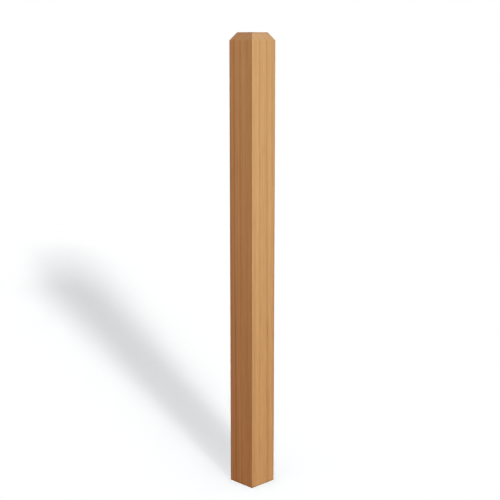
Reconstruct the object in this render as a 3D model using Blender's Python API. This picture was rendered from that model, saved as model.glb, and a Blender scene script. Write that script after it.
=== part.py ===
"""Square timber newel post with a chamfered top, as one solid.

The post is square in plan and sawn flat at its foot. The four edges of its top are
chamfered, which leaves a small flat square, and every planed arris is slightly eased.
Metres, +Z up, with the origin at the centre of the foot.
"""

import bmesh
import bpy
from mathutils import Vector

# Driving sizes of the post
SIDE = 0.083
HEIGHT = 1.200

# Chamfer round the top: how far in from each face it runs, and how far down
CHAMFER_INSET = 0.014
CHAMFER_DROP = 0.020

# Easing of the planed arrises
ARRIS_RADIUS = 0.0006
ARRIS_SEGMENTS = 3

# Look of the planed wood
WOOD_COLOUR = (0.51, 0.29, 0.13, 1.0)
WOOD_ROUGHNESS = 0.6


def clear_scene():
    """Remove every object that the scene holds."""
    for thing in list(bpy.data.objects):
        bpy.data.objects.remove(thing, do_unlink=True)


def wood_material():
    """Give the plain wood of the post."""
    material = bpy.data.materials.new("wood")
    material.use_nodes = True
    shader = material.node_tree.nodes["Principled BSDF"]
    shader.inputs["Base Color"].default_value = WOOD_COLOUR
    shader.inputs["Roughness"].default_value = WOOD_ROUGHNESS
    shader.inputs["Metallic"].default_value = 0.0
    return material


def square_ring(bm, side, height):
    """Add the four corners of a level square, in turn round the post's axis."""
    reach = side / 2
    turns = ((-1, -1), (1, -1), (1, 1), (-1, 1))
    return [bm.verts.new(Vector((x * reach, y * reach, height))) for x, y in turns]


def join_rings(bm, lower, upper):
    """Close the four walls between two square rings."""
    for first in range(4):
        second = (first + 1) % 4
        bm.faces.new((lower[first], lower[second], upper[second], upper[first]))


def ease_arrises(bm):
    """Round every edge except those of the sawn foot."""
    planed = [edge for edge in bm.edges if max(vert.co.z for vert in edge.verts) > 0]
    bmesh.ops.bevel(
        bm,
        geom=planed,
        offset=ARRIS_RADIUS,
        segments=ARRIS_SEGMENTS,
        profile=0.5,
        affect="EDGES",
        clamp_overlap=True,
    )


def newel_post(material):
    """Build the post: a square shaft, the chamfer above it and the flat top."""
    bm = bmesh.new()
    foot = square_ring(bm, SIDE, 0.0)
    shoulder = square_ring(bm, SIDE, HEIGHT - CHAMFER_DROP)
    top = square_ring(bm, SIDE - 2 * CHAMFER_INSET, HEIGHT)
    bm.faces.new(list(reversed(foot)))
    join_rings(bm, foot, shoulder)
    join_rings(bm, shoulder, top)
    bm.faces.new(top)
    ease_arrises(bm)

    mesh = bpy.data.meshes.new("newel_post")
    bm.to_mesh(mesh)
    bm.free()
    mesh.materials.append(material)
    post = bpy.data.objects.new("newel_post", mesh)
    bpy.context.collection.objects.link(post)
    return post


def main():
    clear_scene()
    newel_post(wood_material())


main()
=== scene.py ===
"""Looks of the square newel post: planed straight-grained timber in a pale studio.

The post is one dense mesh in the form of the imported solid. One formula for the growth
rings serves both the mesh, where the hard late wood stands slightly proud, and the
shader, which colours the same rings, so colour and relief agree on every side.
Metres, +Z up, with the photograph's front corner at +X, -Y.
"""

import math

import bmesh
import bpy
from mathutils import Matrix, Vector


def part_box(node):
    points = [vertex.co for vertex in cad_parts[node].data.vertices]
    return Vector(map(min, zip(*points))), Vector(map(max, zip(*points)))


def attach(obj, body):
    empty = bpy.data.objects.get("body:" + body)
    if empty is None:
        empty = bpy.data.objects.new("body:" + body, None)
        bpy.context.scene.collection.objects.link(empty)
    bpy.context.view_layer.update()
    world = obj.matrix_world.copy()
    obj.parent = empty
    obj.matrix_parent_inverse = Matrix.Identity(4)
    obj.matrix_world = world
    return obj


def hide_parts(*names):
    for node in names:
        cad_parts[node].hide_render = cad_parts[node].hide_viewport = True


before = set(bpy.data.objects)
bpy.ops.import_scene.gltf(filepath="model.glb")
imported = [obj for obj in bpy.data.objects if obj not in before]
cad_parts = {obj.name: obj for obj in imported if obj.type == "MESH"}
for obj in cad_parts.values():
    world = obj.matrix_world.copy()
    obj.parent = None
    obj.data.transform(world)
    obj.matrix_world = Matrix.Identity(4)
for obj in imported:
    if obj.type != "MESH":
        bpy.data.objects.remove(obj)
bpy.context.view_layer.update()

# Sizes that the frame gives
LOW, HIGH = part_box("newel_post")
SIDE = HIGH.x - LOW.x
HALF = SIDE / 2
HEIGHT = HIGH.z

# Chamfer round the top and easing of the arrises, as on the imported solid
CHAMFER_INSET = 0.014
CHAMFER_DROP = 0.020
EASING = 0.0006

# The long arrises are eased a little more here and there, in waves up the post
EASING_SWELL = 0.15
SWELL_RATES = (23.0, 7.1)

# How finely the mesh follows the rings: steps across a face, round half a corner, along one
# side from mid-corner to mid-corner, up the shaft, up the chamfer and over a soft edge
FLAT_STEPS = 92
CORNER_STEPS = 3
SIDE_STEPS = FLAT_STEPS + 2 * CORNER_STEPS
SHAFT_STEPS = 60
CHAMFER_STEPS = 10
EDGE_STEPS = 4

# How far the late wood stands proud, and the angle in degrees at which an edge is crisp
RELIEF = 0.00006
CRISP_ANGLE = 50

# Growth rings fan out from a far centre and turn a few degrees as the stem twists
FAN_X = -2.61 * HALF
FAN_Y = -2.68 * HALF
TWIST_FOOT = 0.9
TWIST_TOP = -0.5

# Waves in which the rings wander up the post: length in metres, phase, and reach in degrees
WANDERS = ((0.83, 0.4, 0.16), (0.31, 2.1, 0.07))

# Degrees from one ring to the next, and how far and how often the rings crowd together
RING_ANGLE = 0.8
RING_DRIFT = 0.9
RING_DRIFT_RATE = 0.5

# Streaks that run the whole length: ring angle, reach to each side, tone at foot and top
STREAKS = (
    (25.4, 0.35, -0.03, -0.02),
    (27.8, 0.50, -0.05, -0.03),
    (30.8, 1.10, 0.07, 0.06),
    (33.1, 0.50, -0.07, -0.09),
    (34.9, 0.60, 0.06, 0.05),
    (36.9, 0.70, -0.03, 0.01),
    (39.5, 0.75, -0.17, -0.16),
    (41.7, 0.60, 0.03, 0.03),
    (43.8, 0.70, -0.08, -0.08),
    (46.4, 0.80, 0.05, 0.06),
    (49.0, 0.50, -0.10, -0.13),
    (51.6, 0.90, 0.06, 0.04),
    (55.4, 0.60, -0.16, -0.12),
    (58.3, 0.80, 0.05, 0.06),
    (61.8, 0.50, -0.08, -0.10),
    (64.2, 0.70, 0.04, 0.05),
)

# Shorter marks: ring angle, place along the ring from -1 at the photograph's left corner to 1 at
# its right corner, height, reach across in degrees and up in metres, tone
FLECK_DEPTH = 0.6
FLECKS = (
    (34.3, -0.5, 0.500, 0.80, 0.800, 0.04),
    (39.4, -0.5, 0.500, 1.00, 0.800, -0.04),
    (25.8, -0.5, 0.150, 1.40, 0.350, -0.08),
    (39.2, -0.5, 0.200, 1.30, 0.350, -0.07),
    (40.3, -0.5, 1.080, 0.80, 0.250, -0.05),
    (38.6, 0.5, 0.200, 0.70, 0.300, 0.05),
    (29.6, 0.5, 1.050, 2.20, 0.300, -0.06),
    (32.8, 0.5, 1.050, 0.90, 0.350, -0.05),
    (43.0, 0.5, 1.050, 1.50, 0.300, 0.06),
    (39.0, -0.5, 0.427, 0.45, 0.030, -0.14),
    (38.4, -0.5, 0.230, 0.80, 0.030, -0.10),
    (27.8, -0.5, 0.375, 0.40, 0.020, -0.09),
    (36.4, -0.5, 1.100, 0.80, 0.040, -0.06),
    (40.1, -0.5, 0.864, 0.60, 0.030, -0.07),
    (33.6, 0.5, 0.873, 0.45, 0.015, -0.15),
    (39.7, 0.5, 0.427, 0.50, 0.020, -0.12),
    (40.8, 0.5, 0.230, 1.00, 0.030, -0.07),
    (27.6, 0.5, 0.058, 0.60, 0.020, -0.15),
    (33.0, 0.5, 0.110, 0.50, 0.040, -0.07),
    (42.2, 0.5, 1.080, 0.80, 0.040, -0.05),
    (49.1, -0.5, 0.690, 0.45, 0.018, -0.12),
    (55.3, 0.5, 0.230, 0.45, 0.022, -0.13),
    (61.9, -0.5, 0.980, 0.40, 0.014, -0.10),
)

# Darker edges: place along the ring, or height, and tone, with how far the darkening reaches
SIDE_EDGES = ((-1.0, -0.33), (1.0, -0.20))
SIDE_EDGE_REACH = 0.035
END_EDGES = ((0.0, -0.20), (HEIGHT, -0.24))
END_EDGE_REACH = 0.003

# Grain noise: cells for each degree across, for each side's length along a ring and for each
# metre up, then tone and detail. The breakup is how strong the finer detail is
FIBRE_TONE = 0.29
BROAD_GRAIN = (0.22, 0.33, 1.3, 0.05, 1.0)
STREAKY_GRAIN = (1.1, 1.2, 2.4, 0.15, 2.0)
FIBRES = (4.2, 13.0, 16.0, FIBRE_TONE, 3.0)
GRAIN_BREAKUP = 0.55

# Tone of the late wood on the sides
RING_TONE = -0.05

# How strongly shade and light are painted up the post: the left half darker towards the foot and
# lighter towards the top, the right half the other way round; and how sharply the halves meet
PAINTED_SHADE_DRIFT = 0.09
DRIFT_STEP = 4.0

# Wood colours at three tones, as linear colour, and the tones where they lie
DEEP_TONE, PALE_TONE = 0.6, 1.35
DEEP_WOOD = (0.290, 0.120, 0.047, 1)
MID_WOOD = (0.500, 0.285, 0.125, 1)
PALE_WOOD = (0.660, 0.400, 0.185, 1)

# The greyer colour of end grain: its share on the flat ends, and its share painted on the sides
# as painted light that grows towards the top; then the tone of the rings and the strength of the
# streaks on the ends
END_WOOD = (0.60, 0.445, 0.31, 1)
END_GRAIN_SHARE = 0.65
TOP_PAINTED_LIGHT = 0.08
END_GRAIN_RINGS = -0.34
END_GRAIN_STREAKS = 1.3

# Roughness of the sides, what fibres, late wood and end grain change in it, and the fibres'
# depth in metres
ROUGHNESS = 0.58
FIBRE_SHEEN = 0.12
LATE_WOOD_SHEEN = 0.05
END_GRAIN_ROUGHNESS = 0.15
WOOD_SPECULAR = 0.3
FIBRE_DEPTH = 0.00004

# The photograph's camera, fitted to the post's corners: degrees, metres and millimetres
CAMERA_AZIMUTH = 45.52
CAMERA_DISTANCE = 2.833
CAMERA_HEIGHT = 1.1725
CAMERA_PITCH = 10.666
CAMERA_PAN = 0.121
LENS = 79.02
SENSOR = 36.0

# The tall sun lamp, set from the end of the photograph's shadow: bearing and height of the round
# lamps that it is made of, in degrees and metres, and the metres and watts of each
SUN_PLACES = ((-26.3, 1.700), (-24.8, 1.785), (-23.3, 1.870))
SUN_DISTANCE = 1.5
SUN_RADIUS = 0.05
SUN_POWER = 3.6

# Two soft lamps that light the post alone, before it and behind it
FRONT_BEARING = -22.0
FRONT_DISTANCE = 1.69
FRONT_HEIGHT = 1.20
FRONT_POWER = 93.5
FRONT_COLOUR = (0.72, 1.0, 0.89)
REAR_BEARING = 150.0
REAR_DISTANCE = 1.8
REAR_HEIGHT = 1.5
REAR_POWER = 109.0
REAR_COLOUR = (0.77, 1.0, 0.95)
SOFT_RADIUS = 0.3

# The even light of the room, and the white paper that the camera sees behind the post
AMBIENT = (0.375, 0.154, 0.083)
PAPER_WHITE = 1.0

# A milky white round table: it glows faintly, and light spreads inside it, so the shadow is pale
# and soft. The spreading fades out over a stretch before the rim, where it would lose light
FLOOR_RADIUS = 4.2
FLOOR_EDGES = 96
FLOOR_COLOUR = (0.79, 0.78, 0.76, 1)
FLOOR_GLOW = (0.324, 0.508, 0.581, 1)
FLOOR_SPREAD = 0.37
FLOOR_RIM = 1.5


class Signal:
    """A value inside a shader. A sum on it adds Math nodes, so it is written like a number."""

    def __init__(self, tree, socket):
        self.tree = tree
        self.socket = socket

    def maths(self, operation, *others):
        """Return the result of one Math node fed by this value and others, numbers or signals."""
        node = self.tree.nodes.new("ShaderNodeMath")
        node.operation = operation
        for place, value in enumerate((self, *others)):
            plug(self.tree, value, node.inputs[place])
        return Signal(self.tree, node.outputs["Value"])

    def __add__(self, other):
        return self.maths("ADD", other)

    def __sub__(self, other):
        return self.maths("SUBTRACT", other)

    def __rsub__(self, other):
        return self * -1.0 + other

    def __mul__(self, other):
        return self.maths("MULTIPLY", other)

    def __truediv__(self, other):
        return self.maths("DIVIDE", other)

    __radd__ = __add__


def plug(tree, value, socket):
    """Feed a socket with a signal's result or a plain number."""
    if isinstance(value, Signal):
        tree.links.new(value.socket, socket)
    else:
        socket.default_value = value


def sine(value):
    return value.maths("SINE") if isinstance(value, Signal) else math.sin(value)


def arctan2(y, x):
    return y.maths("ARCTAN2", x) if isinstance(y, Signal) else math.atan2(y, x)


def hump(value, centre, reach):
    """Return 1 where a signal is at the centre, falling smoothly to 0 beyond its reach."""
    offset = (value - centre) / reach
    return (offset * offset * -1.0).maths("EXPONENT")


def ring_angle(x, y, z):
    """Return which growth ring passes through a point, as an angle about the fan's centre."""
    twist = z / HEIGHT * (TWIST_TOP - TWIST_FOOT) + TWIST_FOOT
    wander = sum(sine(z * (math.tau / length) + phase) * reach for length, phase, reach in WANDERS)
    angle = arctan2(y - FAN_Y, x - FAN_X) * math.degrees(1)
    return angle - (x + y) * twist / HALF + wander


def late_wood(angle):
    """Return how far a ring angle lies in a ring's dark late wood, from 0 to 1."""
    count = angle / RING_ANGLE + sine(angle * RING_DRIFT_RATE) * RING_DRIFT
    swell = sine(count * math.tau) * 0.5 + 0.5
    return swell * swell


def easing_at(z):
    """Return how far the long arrises are eased at a height."""
    fast, slow = SWELL_RATES
    return EASING * (1 + EASING_SWELL * (1 + math.sin(z * fast) * math.sin(z * slow)))


def outline_point(half, radius, station):
    """Return (along, outward) for a station on one side of an eased square.

    The stations run from mid-corner to mid-corner: round half a corner, along the flat and
    round half the next corner.
    """
    flat = half - radius
    step = station - CORNER_STEPS
    if 0 < step < FLAT_STEPS:
        return flat * (2 * step / FLAT_STEPS - 1), half
    turn = math.radians(45) / CORNER_STEPS * max(-step, step - FLAT_STEPS)
    rise = math.sin(turn) * radius
    direction = -1 if step <= 0 else 1
    return direction * (flat + rise), flat + math.sqrt(radius * radius - rise * rise)


def profile():
    """Return the rows up the post as (inset from the side, height), with soft chamfer edges."""
    foot = Vector((0, 0))
    shoulder = Vector((0, HEIGHT - CHAMFER_DROP))
    rim = Vector((CHAMFER_INSET, HEIGHT))
    middle = Vector((HALF, HEIGHT))
    shaft = between(foot, towards(shoulder, foot, EASING), SHAFT_STEPS)
    chamfer = between(
        towards(shoulder, rim, EASING), towards(rim, shoulder, EASING), CHAMFER_STEPS
    )
    lower_turn = rounded(foot, shoulder, rim)
    upper_turn = rounded(shoulder, rim, middle)
    return shaft[:-1] + lower_turn + chamfer[1:-1] + upper_turn


def between(first, last, steps):
    """Return evenly spaced points from one to another, both included."""
    return [first.lerp(last, step / steps) for step in range(steps + 1)]


def towards(start, goal, distance):
    """Return the point at a distance from a start towards a goal."""
    return start + (goal - start).normalized() * distance


def rounded(before, corner, after):
    """Return the points of a soft turn at a corner, both ends included."""
    first = towards(corner, before, EASING)
    last = towards(corner, after, EASING)
    shares = [step / EDGE_STEPS for step in range(EDGE_STEPS + 1)]
    return [first.lerp(corner, share).lerp(corner.lerp(last, share), share) for share in shares]


def turned(along, outward, z, side):
    """Return a point on one of the four sides, counted anticlockwise from the -Y side."""
    return Matrix.Rotation(math.radians(90 * side), 3, "Z") @ Vector((along, -outward, z))


def add_row(bm, inset, z):
    """Add one ring of vertices round the post."""
    ring = []
    for side in range(4):
        for station in range(SIDE_STEPS):
            along, outward = outline_point(HALF - inset, easing_at(z), station)
            ring.append(bm.verts.new(turned(along, outward, z, side)))
    return ring


def join_rows(bm, lower, upper):
    """Add the faces between two rings of vertices."""
    count = len(lower)
    for first in range(count):
        second = (first + 1) % count
        bm.faces.new((lower[first], lower[second], upper[second], upper[first]))


def on_outline(half, radius, share, other):
    """Return one coordinate of a point on an eased square.

    The one wanted and the other one come as shares of a mid-corner's. A whole share lies on
    a side, and the easing of the corner draws it in.
    """
    flat = half - radius
    reach = outline_point(half, radius, SIDE_STEPS)[0]
    if abs(share) < 1:
        return share * reach
    over = max(0.0, abs(other) * reach - flat)
    return math.copysign(flat + math.sqrt(radius * radius - over * over), share)


def cap_point(half, radius, column, row):
    """Return (x, y) for a place in the grid that fills an eased square, shell by shell."""
    reach = outline_point(half, radius, SIDE_STEPS)[0]
    u = outline_point(half, radius, column)[0] / reach
    v = outline_point(half, radius, row)[0] / reach
    shell = max(abs(u), abs(v))
    if shell == 0:
        return 0.0, 0.0
    across = on_outline(half, radius, u / shell, v / shell)
    up = on_outline(half, radius, v / shell, u / shell)
    return shell * across, shell * up


def add_cap(bm, ring, inset, z, upward):
    """Fill a ring of vertices with a flat grid that faces up or down."""
    last = SIDE_STEPS
    grid = {}
    for station in range(last):
        grid[station, 0] = ring[station]
        grid[last, station] = ring[last + station]
        grid[last - station, last] = ring[2 * last + station]
        grid[0, last - station] = ring[3 * last + station]
    for column in range(1, last):
        for row in range(1, last):
            x, y = cap_point(HALF - inset, easing_at(z), column, row)
            grid[column, row] = bm.verts.new((x, y, z))
    for column in range(last):
        for row in range(last):
            near = [grid[column, row], grid[column + 1, row]]
            far = [grid[column + 1, row + 1], grid[column, row + 1]]
            corners = near + far
            bm.faces.new(corners if upward else corners[::-1])


def wear_rings(bm):
    """Sink the soft early wood between the rings, so the hard late wood stands slightly proud."""
    bm.normal_update()
    for vert in bm.verts:
        if vert.co.z > 0:
            hard = late_wood(ring_angle(*vert.co))
            vert.co -= vert.normal * RELIEF * (1 - hard)


def build_post(material):
    """Make the post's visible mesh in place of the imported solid."""
    bm = bmesh.new()
    rows = profile()
    rings = [add_row(bm, inset, z) for inset, z in rows]
    for lower, upper in zip(rings, rings[1:]):
        join_rows(bm, lower, upper)
    add_cap(bm, rings[0], *rows[0], upward=False)
    add_cap(bm, rings[-1], *rows[-1], upward=True)
    wear_rings(bm)

    mesh = bpy.data.meshes.new("newel_post_timber")
    bm.to_mesh(mesh)
    bm.free()
    mesh.materials.append(material)
    mesh.shade_smooth()
    mesh.set_sharp_from_angle(angle=math.radians(CRISP_ANGLE))
    post = bpy.data.objects.new("newel_post_timber", mesh)
    bpy.context.scene.collection.objects.link(post)
    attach(post, "root")
    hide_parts("newel_post")
    return post


def object_place(tree):
    """Return the x, y and z of the shaded point on its object."""
    coordinates = tree.nodes.new("ShaderNodeTexCoord")
    split = tree.nodes.new("ShaderNodeSeparateXYZ")
    tree.links.new(coordinates.outputs["Object"], split.inputs["Vector"])
    return [Signal(tree, split.outputs[axis]) for axis in "XYZ"]


def noise(tree, place, detail):
    """Return a noise from 0 to 1 at a place given as three signals."""
    vector = tree.nodes.new("ShaderNodeCombineXYZ")
    for socket, value in zip(vector.inputs, place):
        plug(tree, value, socket)
    texture = tree.nodes.new("ShaderNodeTexNoise")
    texture.inputs["Scale"].default_value = 1.0
    texture.inputs["Detail"].default_value = detail
    texture.inputs["Roughness"].default_value = GRAIN_BREAKUP
    tree.links.new(vector.outputs["Vector"], texture.inputs["Vector"])
    return Signal(tree, texture.outputs["Fac"])


def grain_noise(tree, angle, depth, z, grain):
    """Return a noise about 0 whose cells are drawn out along the grain."""
    across, inward, upward, tone, detail = grain
    cells = (angle * across, depth * inward, z * upward)
    return (noise(tree, cells, detail) - 0.5) * (2 * tone)


def streak_tone(angle, depth, z):
    """Return the tone of the long streaks and short flecks at a place in the timber."""
    tone = 0.0
    for centre, reach, foot, top in STREAKS:
        tone = hump(angle, centre, reach) * (z / HEIGHT * (top - foot) + foot) + tone
    for centre, side, height, reach, length, dark in FLECKS:
        spot = hump(angle, centre, reach) * hump(depth, side, FLECK_DEPTH) * hump(z, height, length)
        tone = spot * dark + tone
    return tone


def edge_tone(depth, z):
    """Return the tone of the edges: the side edges, the foot and the top are painted a little
    darker.
    """
    tone = 0.0
    for place, dark in SIDE_EDGES:
        tone = hump(depth, place, SIDE_EDGE_REACH) * dark + tone
    for height, dark in END_EDGES:
        tone = hump(z, height, END_EDGE_REACH) * dark + tone
    return tone


def end_grain(tree):
    """Return how far a surface shows its end grain, from 0 on the sides to 1 on the flat ends."""
    geometry = tree.nodes.new("ShaderNodeNewGeometry")
    split = tree.nodes.new("ShaderNodeSeparateXYZ")
    tree.links.new(geometry.outputs["Normal"], split.inputs["Vector"])
    upright = Signal(tree, split.outputs["Z"]).maths("ABSOLUTE")
    return upright * upright


def wood_colour(tree, tone, end_grain_and_painted_light):
    """Return the colour output for a tone of wood and its share of the end grain's colour; both
    also carry painted shade and light.
    """
    ramp = tree.nodes.new("ShaderNodeValToRGB")
    elements = ramp.color_ramp.elements
    elements[0].color = DEEP_WOOD
    elements[1].color = PALE_WOOD
    elements.new((1 - DEEP_TONE) / (PALE_TONE - DEEP_TONE)).color = MID_WOOD
    plug(tree, (tone - DEEP_TONE) / (PALE_TONE - DEEP_TONE), ramp.inputs["Fac"])
    mix = tree.nodes.new("ShaderNodeMix")
    mix.data_type = "RGBA"
    plug(tree, end_grain_and_painted_light, mix.inputs["Factor"])
    tree.links.new(ramp.outputs["Color"], mix.inputs["A"])
    mix.inputs["B"].default_value = END_WOOD
    return mix.outputs["Result"]


def planed_wood():
    """Make the wood: growth rings, streaks, flecks and fibres drawn out along the post, with
    painted shade.
    """
    material = bpy.data.materials.new("planed_wood")
    material.use_nodes = True
    tree = material.node_tree
    shader = tree.nodes["Principled BSDF"]

    x, y, z = object_place(tree)
    angle = ring_angle(x, y, z)
    cut = (z - (HEIGHT - CHAMFER_DROP)).maths("MAXIMUM", 0.0) * (CHAMFER_INSET / CHAMFER_DROP)
    depth = (x + y) / (SIDE - cut * 2.0)
    late = late_wood(angle)
    ends = end_grain(tree)
    sides = 1.0 - ends

    fibres = grain_noise(tree, angle, depth, z, FIBRES)
    figure = grain_noise(tree, angle, depth, z, BROAD_GRAIN)
    figure += grain_noise(tree, angle, depth, z, STREAKY_GRAIN)
    shown = sides * sides + ends * ends * ends * END_GRAIN_STREAKS
    streaks = streak_tone(angle, depth, z) * shown
    rings = late * (ends * ends * END_GRAIN_RINGS + RING_TONE)
    # Painted shade: the left half darker towards the foot, the right half darker towards the top
    painted_shade = (depth * DRIFT_STEP).maths("TANH") * (0.5 - z / HEIGHT) * PAINTED_SHADE_DRIFT
    tone = streaks + figure + fibres + rings + painted_shade + edge_tone(depth, z) * sides + 1.0
    # The end grain's share, plus painted light that makes the sides paler towards the top
    end_grain_and_painted_light = ends * END_GRAIN_SHARE + z / HEIGHT * TOP_PAINTED_LIGHT
    tree.links.new(wood_colour(tree, tone, end_grain_and_painted_light), shader.inputs["Base Color"])

    sheen = fibres * FIBRE_SHEEN + late * LATE_WOOD_SHEEN
    rough = ROUGHNESS + ends * END_GRAIN_ROUGHNESS - sheen
    plug(tree, rough, shader.inputs["Roughness"])
    shader.inputs["Specular IOR Level"].default_value = WOOD_SPECULAR

    bump = tree.nodes.new("ShaderNodeBump")
    bump.inputs["Distance"].default_value = FIBRE_DEPTH
    plug(tree, fibres * (0.5 / FIBRE_TONE) + 0.5, bump.inputs["Height"])
    tree.links.new(bump.outputs["Normal"], shader.inputs["Normal"])
    return material


def floor_material():
    """Make the table's milky white, which glows faintly and turns plain towards the rim."""
    material = bpy.data.materials.new("pale_floor")
    material.use_nodes = True
    tree = material.node_tree
    shader = tree.nodes["Principled BSDF"]
    shader.inputs["Base Color"].default_value = FLOOR_COLOUR
    shader.inputs["Roughness"].default_value = 1.0
    shader.inputs["Specular IOR Level"].default_value = 0.0
    shader.subsurface_method = "BURLEY"
    x, y, _ = object_place(tree)
    from_rim = FLOOR_RADIUS - (x * x + y * y).maths("SQRT")
    milky = (from_rim / FLOOR_RIM).maths("MINIMUM", 1.0)
    plug(tree, milky * milky, shader.inputs["Subsurface Weight"])
    shader.inputs["Subsurface Radius"].default_value = (1.0, 1.0, 1.0)
    shader.inputs["Subsurface Scale"].default_value = FLOOR_SPREAD
    shader.inputs["Emission Color"].default_value = FLOOR_GLOW
    shader.inputs["Emission Strength"].default_value = 1.0
    return material


def build_floor():
    """Lay a plain pale round floor that takes the post's shadow and adds no light to the post."""
    bm = bmesh.new()
    bmesh.ops.create_circle(bm, cap_ends=True, segments=FLOOR_EDGES, radius=FLOOR_RADIUS)
    mesh = bpy.data.meshes.new("pale_floor")
    bm.to_mesh(mesh)
    bm.free()
    mesh.materials.append(floor_material())
    floor = bpy.data.objects.new("pale_floor", mesh)
    floor.visible_diffuse = False
    floor.visible_glossy = False
    bpy.context.scene.collection.objects.link(floor)
    return floor


def light_room():
    """Give an even soft light from all round, with white paper behind the post."""
    world = bpy.data.worlds.new("white_room")
    bpy.context.scene.world = world
    world.use_nodes = True
    tree = world.node_tree
    backdrop = tree.nodes["Background"]
    backdrop.inputs["Color"].default_value = (PAPER_WHITE, PAPER_WHITE, PAPER_WHITE, 1)
    ambient = tree.nodes.new("ShaderNodeBackground")
    ambient.inputs["Color"].default_value = (*AMBIENT, 1)
    path = tree.nodes.new("ShaderNodeLightPath")
    mix = tree.nodes.new("ShaderNodeMixShader")
    tree.links.new(path.outputs["Is Camera Ray"], mix.inputs["Fac"])
    tree.links.new(ambient.outputs["Background"], mix.inputs[1])
    tree.links.new(backdrop.outputs["Background"], mix.inputs[2])
    tree.links.new(mix.outputs["Shader"], tree.nodes["World Output"].inputs["Surface"])


def hang_lamp(name, bearing, distance, height, radius, power):
    """Hang a round lamp at a bearing from the post."""
    data = bpy.data.lights.new(name, "POINT")
    data.energy = power
    data.shadow_soft_size = radius
    lamp = bpy.data.objects.new(name, data)
    turn = math.radians(bearing)
    lamp.location = (distance * math.cos(turn), distance * math.sin(turn), height)
    lamp.visible_camera = False
    bpy.context.scene.collection.objects.link(lamp)
    return lamp


def shine_on(lamps, things):
    """Let lamps light some things and nothing else.

    Every lamp needs this, as one left without it is too bright beside those that have it.
    """
    lit = bpy.data.collections.new("lit")
    for thing in things:
        lit.objects.link(thing)
    for lamp in lamps:
        lamp.light_linking.receiver_collection = lit


def steady_light(lamp):
    """Let a lamp light a level floor as strongly far off as near it, as the sun does."""
    lamp.data.use_nodes = True
    tree = lamp.data.node_tree
    falloff = tree.nodes.new("ShaderNodeLightFalloff")
    falloff.inputs["Strength"].default_value = 1.0
    constant, linear = [Signal(tree, falloff.outputs[name]) for name in ("Constant", "Linear")]
    plug(tree, constant * linear, tree.nodes["Emission"].inputs["Strength"])


def place_sun(post, floor):
    """Hang the tall lamp that throws the post's shadow."""
    suns = [
        hang_lamp("sun_lamp", bearing, SUN_DISTANCE, height, SUN_RADIUS, SUN_POWER)
        for bearing, height in SUN_PLACES
    ]
    for sun in suns:
        steady_light(sun)
    shine_on(suns, [post, floor])


def place_soft_lamps(post):
    """Hang the soft lamps before and behind the post, which shine on it and not on the floor."""
    front_place = (FRONT_BEARING, FRONT_DISTANCE, FRONT_HEIGHT)
    front = hang_lamp("front_lamp", *front_place, SOFT_RADIUS, FRONT_POWER)
    front.data.color = FRONT_COLOUR
    rear_place = (REAR_BEARING, REAR_DISTANCE, REAR_HEIGHT)
    rear = hang_lamp("rear_lamp", *rear_place, SOFT_RADIUS, REAR_POWER)
    rear.data.color = REAR_COLOUR
    shine_on([front, rear], [post])


def place_camera():
    """Set the camera where the photograph was taken from."""
    data = bpy.data.cameras.new("camera")
    data.lens = LENS
    data.sensor_width = SENSOR
    camera = bpy.data.objects.new("camera", data)
    azimuth = math.radians(CAMERA_AZIMUTH)
    camera.location = (
        CAMERA_DISTANCE * math.sin(azimuth),
        -CAMERA_DISTANCE * math.cos(azimuth),
        CAMERA_HEIGHT,
    )
    camera.rotation_euler = (
        math.radians(90 - CAMERA_PITCH),
        0,
        math.radians(CAMERA_AZIMUTH + CAMERA_PAN),
    )
    bpy.context.scene.collection.objects.link(camera)
    bpy.context.scene.camera = camera


newel_post = build_post(planed_wood())
pale_floor = build_floor()
light_room()
place_sun(newel_post, pale_floor)
place_soft_lamps(newel_post)
place_camera()
bpy.context.scene.view_settings.view_transform = "Standard"
